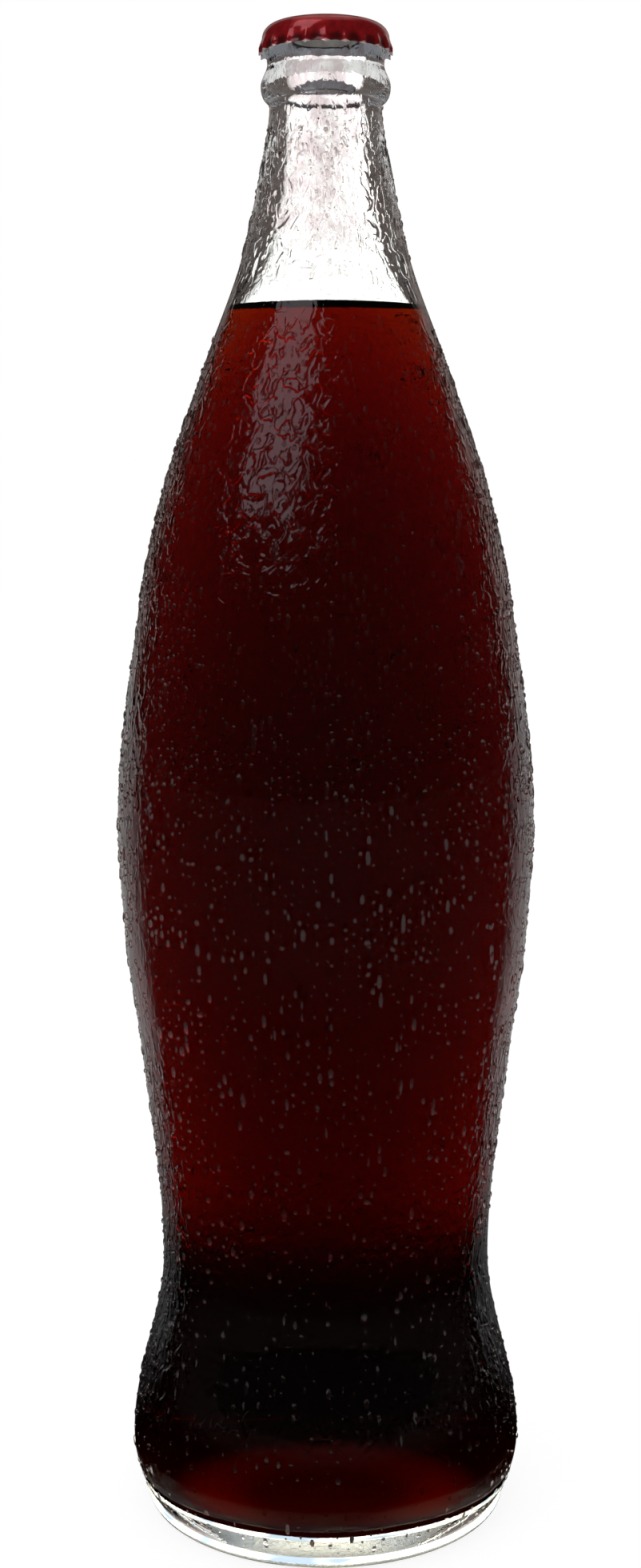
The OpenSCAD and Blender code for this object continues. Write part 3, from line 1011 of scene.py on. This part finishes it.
class BOTTLE_OT_condensation(bpy.types.Operator):
    """Scatters beads and runs of water over the glass"""

    bl_idname = "bottle.condensation"
    bl_label = "Condensation"

    def execute(self, context):
        s = context.scene.bottle_wet
        glass = bpy.data.objects["glass"]
        tree = bead_tree()
        sunk = sunk_water()
        # Drop materials whose grey tints darken the drops as painted shade
        shaded_neck_drops = clear_material(*SHADED_NECK_DROPS)[0]
        clear = clear_material(*SHADED_BODY_DROPS)[0]
        large = clear_material(*SHADED_RUN_DROPS)[0]
        for zones, radius, mesh, flatness, drops in (
            (BODY_BEADS, s.bead_radius, BEAD_MESH, BEAD_FLATNESS, clear),
            (NECK_BEADS, s.bead_radius, BEAD_MESH, BEAD_FLATNESS, shaded_neck_drops),
            (RUN_ZONES, s.run_radius, RUN_MESH, RUN_FLATNESS, large),
        ):
            for name, low, high, spacing, stretch in zones:
                values = {
                    "Low": low * MM, "High": high * MM, "Spacing": spacing * MM,
                    "Density": BEAD_CROWD, "Radius": radius, "Spread": 1.0, "Stretch": stretch,
                    "Flatness": flatness, "Segments": mesh[0], "Rings": mesh[1],
                    "Seed": s.seed + low, "Outside": drops, "Sunk": sunk,
                }
                piece = new_object(name, glass.data.copy())
                run_tree(piece, tree, values)
                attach(piece, BOTTLE_BODY)
        return {"FINISHED"}


# The foot of the bottle stands this far in the wetness on the table, in metres, which lets the
# table's light into the glass
WET_H = 0.03 * MM

# The frame's size, the row that lies at the camera's own height, the column of the bottle's
# axis and the focal length, all in pixels, and the sensor's width in millimetres
FRAME_W, FRAME_H = 802, 1962
HORIZON_ROW = 656
AXIS_COLUMN = 407.5
FOCAL_PIXELS = 2676
SENSOR = 36.0

FLOOR_HALF = 6.0
LIGHT_BOUNCES = 32
MIRROR_BOUNCES = 8
# Light that has gone through more faces than this has been through the drink or the base
DEEP = 2.5
WHITE = (1.0, 1.0, 1.0)
# Colours of the painted glow under the bottle: bluish and yellowish for the pale crescent, red where
# it is seen through the drink; dusk for the dim parts of the room
BLUISH = (0.66, 0.82, 1.0)
YELLOWISH = (1.0, 1.0, 0.86)
RED_GLOW = (1.0, 0.06, 0.03)
DUSK = (1.0, 0.83, 0.78)
# The window's place and size in metres, its power and colour, and the height it is aimed at
WINDOW_PLACE = (-0.53, -0.59, 0.98)
WINDOW_SIZE = (0.7, 0.8)
WINDOW_POWER = 2.3
WINDOW_COLOUR = (0.97, 0.88, 0.95)
WINDOW_AIM = (0, 0, 0.22)


class BOTTLE_OT_stage(bpy.types.Operator):
    """Makes the floor, the soft light and the camera"""

    bl_idname = "bottle.stage"
    bl_label = "Stage"

    def execute(self, context):
        s = context.scene.bottle_stage
        self.floor(s)
        self.world()
        self.lamps()
        self.camera(s)
        scene = context.scene
        scene.view_settings.view_transform = "Standard"
        scene.cycles.max_bounces = LIGHT_BOUNCES
        scene.cycles.transmission_bounces = LIGHT_BOUNCES
        scene.cycles.glossy_bounces = MIRROR_BOUNCES
        return {"FINISHED"}

    def floor(self, s):
        mesh = bpy.data.meshes.new("floor")
        signs = ((-1, -1), (1, -1), (1, 1), (-1, 1))
        corners = [(x * FLOOR_HALF, y * FLOOR_HALF, WET_H) for x, y in signs]
        mesh.from_pydata(corners, [], [(0, 1, 2, 3)])
        floor = new_object("floor", mesh)
        material, nodes, shader = new_material("floor")
        set_inputs(shader, {"Base Color": (*s.floor_colour, 1.0), "Roughness": 0.9})
        path = nodes.add("ShaderNodeLightPath").outputs
        place = nodes.add("ShaderNodeTexCoord").outputs["Object"]
        away = nodes.add("ShaderNodeVectorMath", [place], operation="LENGTH").outputs["Value"]
        across, behind, _ = nodes.add("ShaderNodeSeparateXYZ", [place]).outputs
        aside = nodes.math("ABSOLUTE", nodes.math("ARCTAN2", across, behind))
        # Painted shadow: close to the bottle the floor is dark in reflections and through the glass,
        # and in reflections it shines only in wedges to the sides behind the bottle
        shaded = nodes.ramp(away, 0.08, 0.35, 0.02, 1.0)
        deep = nodes.math("GREATER_THAN", path["Transmission Depth"], DEEP)
        # Painted light: a faint ring under the base that glows through the drink, brighter behind
        through_drink = nodes.times(
            nodes.ramp(away, 0.008, 0.018, 0.06, 0.17), nodes.ramp(away, 0.017, 0.025, 1.0, 0.0))
        through_drink = nodes.times(through_drink, nodes.ramp(behind, -0.018, -0.004, 0.05, 1.0))
        mirrored = nodes.times(shaded, nodes.panel(aside, 0.4, 8, 18, 46, 67))
        level = nodes.mix(path["Is Glossy Ray"], 1.09, mirrored)
        turned = nodes.math("GREATER_THAN", path["Glossy Depth"], 0.5)
        far = nodes.times(shaded, 0.85)
        through = nodes.mix(turned, nodes.most(far, through_drink), 0.03)
        # Painted light: a bright patchy glow under the foot, bluish to yellowish, that makes the pale
        # crescent in the base
        patches = nodes.ramp(object_noise(nodes, 75.0, 2.0), 0.4, 0.52)
        foot = nodes.times(nodes.ramp(away, 0.042, 0.055, 1.0, 0.0),
                          nodes.mix(patches, 1.1, 2.6))
        through = nodes.mix(deep, nodes.most(far, foot), through)
        level = nodes.mix(path["Is Transmission Ray"], level, through)
        # Painted light: under the bottle, the glow seen through more than two faces of glass turns red
        red_glow_share = nodes.times(nodes.times(deep, path["Is Transmission Ray"]),
                             nodes.ramp(away, 0.036, 0.05, 1.0, 0.0))
        near = nodes.times(path["Is Transmission Ray"], nodes.ramp(away, 0.05, 0.06, 1.0, 0.0))
        pale = nodes.blend(patches, BLUISH, YELLOWISH)
        colour = nodes.blend(near, WHITE, pale)
        colour = nodes.blend(red_glow_share, colour, RED_GLOW)
        glow = nodes.add("ShaderNodeEmission", {"Color": colour, "Strength": level})
        share = nodes.math(
            "MAXIMUM",
            nodes.times(path["Is Camera Ray"], 0.8),
            nodes.most(path["Is Glossy Ray"], path["Is Transmission Ray"]))
        mix = nodes.add("ShaderNodeMixShader", {0: share, 1: shader.outputs[0], 2: glow.outputs[0]})
        nodes.link(mix.outputs[0], nodes.tree.nodes["Material Output"].inputs["Surface"])
        mesh.materials.append(material)

    def world(self):
        """A white room to the camera. In reflections it is dark but for a tall white panel on
        each side behind the bottle, and through the glass it is white but for light that the
        glass has turned inside itself."""
        world = bpy.data.worlds.new("studio")
        bpy.context.scene.world = world
        world.use_nodes = True
        nodes = Nodes(world.node_tree)
        background = world.node_tree.nodes["Background"]
        path = nodes.add("ShaderNodeLightPath").outputs
        facing = nodes.add("ShaderNodeTexCoord").outputs["Generated"]
        x, y, z = nodes.add("ShaderNodeSeparateXYZ", [facing]).outputs
        right = nodes.math("ARCTAN2", x, y)
        left = nodes.times(right, -1.0)
        aside = nodes.math("ABSOLUTE", right)

        plain = nodes.ramp(z, -0.2, 0.9, 0.55, 1.0)
        shine = nodes.math(
            "ADD", nodes.panel(right, 0.4, 12, 20, 36, 54), nodes.panel(left, 0.32, 12, 20, 30, 42))
        shine = nodes.math("ADD", shine, nodes.ramp(z, 0.8, 0.95, 0.015, 0.5))
        clear = nodes.math(
            "ADD", nodes.panel(aside, 0.45, 2, 9, 22, 36), nodes.panel(right, 2.1, 11, 20, 30, 46))
        clear = nodes.times(nodes.math("ADD", clear, 1.3), nodes.ramp(z, 0.35, 0.9, 1.0, 0.12))
        turned = nodes.math("GREATER_THAN", path["Glossy Depth"], 0.5)
        skimmed = nodes.math("LESS_THAN", path["Transmission Depth"], DEEP)
        clear = nodes.times(clear, nodes.mix(skimmed, 1.0, 0.22))
        through = nodes.mix(turned, clear, 0.11)
        level = nodes.mix(path["Is Camera Ray"], plain, 1.0)
        level = nodes.mix(path["Is Glossy Ray"], level, shine)
        level = nodes.mix(path["Is Transmission Ray"], level, through)
        white = nodes.most(nodes.ramp(level, 0.4, 1.0), path["Is Camera Ray"])
        colour = nodes.blend(white, DUSK, WHITE)
        nodes.link(colour, background.inputs["Color"])
        nodes.link(level, background.inputs["Strength"])

    def lamps(self):
        data = bpy.data.lights.new("window", "AREA")
        data.shape = "RECTANGLE"
        data.size, data.size_y = WINDOW_SIZE
        data.energy = WINDOW_POWER
        data.color = WINDOW_COLOUR
        lamp = new_object("window", data)
        lamp.location = WINDOW_PLACE
        aim = Vector(WINDOW_AIM) - Vector(WINDOW_PLACE)
        lamp.rotation_euler = aim.to_track_quat("-Z", "Y").to_euler()

    def camera(self, s):
        data = bpy.data.cameras.new("camera")
        data.sensor_fit = "AUTO"
        data.sensor_width = SENSOR
        data.lens = FOCAL_PIXELS * SENSOR / FRAME_H
        data.shift_y = (HORIZON_ROW - FRAME_H / 2) / FRAME_H
        data.shift_x = (FRAME_W / 2 - AXIS_COLUMN) / FRAME_H
        data.clip_start = 0.01
        camera = new_object("camera", data)
        camera.location = (0, -s.camera_distance, s.camera_height)
        camera.rotation_euler = (math.pi / 2, 0, 0)
        bpy.context.scene.camera = camera


class BOTTLE_PT_panel(bpy.types.Panel):
    """Buttons for the bottle's pieces"""

    bl_idname = "BOTTLE_PT_panel"
    bl_label = "Glass bottle"
    bl_space_type = "VIEW_3D"
    bl_region_type = "UI"
    bl_category = "Bottle"

    def draw(self, context):
        for group, steps in (
            (context.scene.bottle_stage, (BOTTLE_OT_stage,)),
            (context.scene.bottle_glass, (BOTTLE_OT_glass, BOTTLE_OT_drink)),
            (context.scene.bottle_crown, (BOTTLE_OT_crown, BOTTLE_OT_liner)),
            (context.scene.bottle_wet, (BOTTLE_OT_condensation,)),
        ):
            box = self.layout.box()
            for key in type(group).__annotations__:
                box.prop(group, key)
            for step in steps:
                box.operator(step.bl_idname)


CLASSES = (
    GlassSettings, CrownSettings, WetSettings, StageSettings,
    BOTTLE_OT_stage, BOTTLE_OT_glass, BOTTLE_OT_drink, BOTTLE_OT_crown, BOTTLE_OT_liner,
    BOTTLE_OT_condensation, BOTTLE_PT_panel,
)


def register():
    for cls in CLASSES:
        bpy.utils.register_class(cls)
    bpy.types.Scene.bottle_glass = PointerProperty(type=GlassSettings)
    bpy.types.Scene.bottle_crown = PointerProperty(type=CrownSettings)
    bpy.types.Scene.bottle_wet = PointerProperty(type=WetSettings)
    bpy.types.Scene.bottle_stage = PointerProperty(type=StageSettings)


def unregister():
    del bpy.types.Scene.bottle_stage
    del bpy.types.Scene.bottle_wet
    del bpy.types.Scene.bottle_crown
    del bpy.types.Scene.bottle_glass
    for cls in reversed(CLASSES):
        bpy.utils.unregister_class(cls)


def main():
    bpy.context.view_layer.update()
    register()
    bpy.ops.bottle.stage()
    bpy.ops.bottle.glass()
    bpy.ops.bottle.drink()
    bpy.ops.bottle.crown()
    bpy.ops.bottle.liner()
    bpy.ops.bottle.condensation()


if __name__ == "__main__":
    main()
